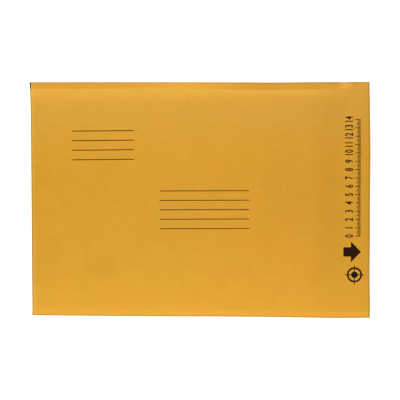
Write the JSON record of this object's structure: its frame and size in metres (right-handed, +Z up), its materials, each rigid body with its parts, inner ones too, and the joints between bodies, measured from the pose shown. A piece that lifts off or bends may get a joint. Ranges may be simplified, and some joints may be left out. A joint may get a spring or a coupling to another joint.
{
  "type": "padded envelope",
  "caption": "Flat padded mailing envelope of kraft paper with a bubble film lining, sealed side seams, a folded end and an open self-seal flap.",
  "frame": {"origin": "on the surface that the envelope lies on, under the middle of its bounding box", "axes": "+X along the envelope from the folded end to the flap, +Y across it to the edge that is uppermost in the picture, +Z up out of the address side"},
  "size_m": [0.4092, 0.2836, 0.0126],
  "materials": {
    "kraft": "matt",
    "bubble_film": "satin",
    "adhesive": "gloss",
    "release_paper": "satin"
  },
  "bodies": {
    "root": {"kraft_envelope": "kraft", "bubble_lining": "bubble_film", "adhesive_strip": "adhesive", "release_liner": "release_paper"}
  },
  "joints": []
}
